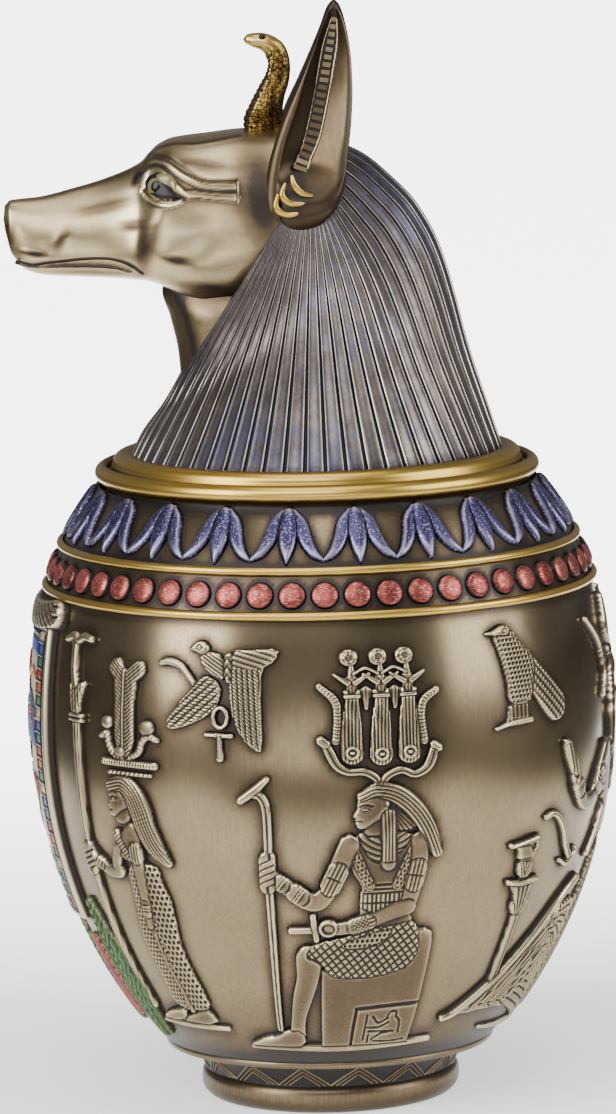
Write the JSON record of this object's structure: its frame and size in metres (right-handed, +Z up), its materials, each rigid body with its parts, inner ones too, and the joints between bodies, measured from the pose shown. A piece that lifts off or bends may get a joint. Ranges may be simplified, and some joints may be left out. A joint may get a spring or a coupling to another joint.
{
  "type": "canopic jar",
  "caption": "Egyptian canopic jar: hollow footed jar with relief figures, beads and lotus shoulder, and a lift-off jackal-headed lid with striped headcloth and rearing cobra.",
  "frame": {"origin": "centre of the foot's underside", "axes": "+Z up, out of the jar's mouth; the jackal looks towards -Y; +X is the side with the seated figure"},
  "size_m": [0.1697, 0.1742, 0.3208],
  "materials": {
    "jar_resin": "cold-cast bronze resin, antiqued dark in the hollows and buffed, with gilt bands and tinted beads and flowers",
    "lid_resin": "cold-cast bronze resin, antiqued dark in the grooves and buffed, with a gilt cobra and hoops"
  },
  "bodies": {
    "root": {"jar": "jar_resin", "lid": "lid_resin"}
  },
  "joints": []
}
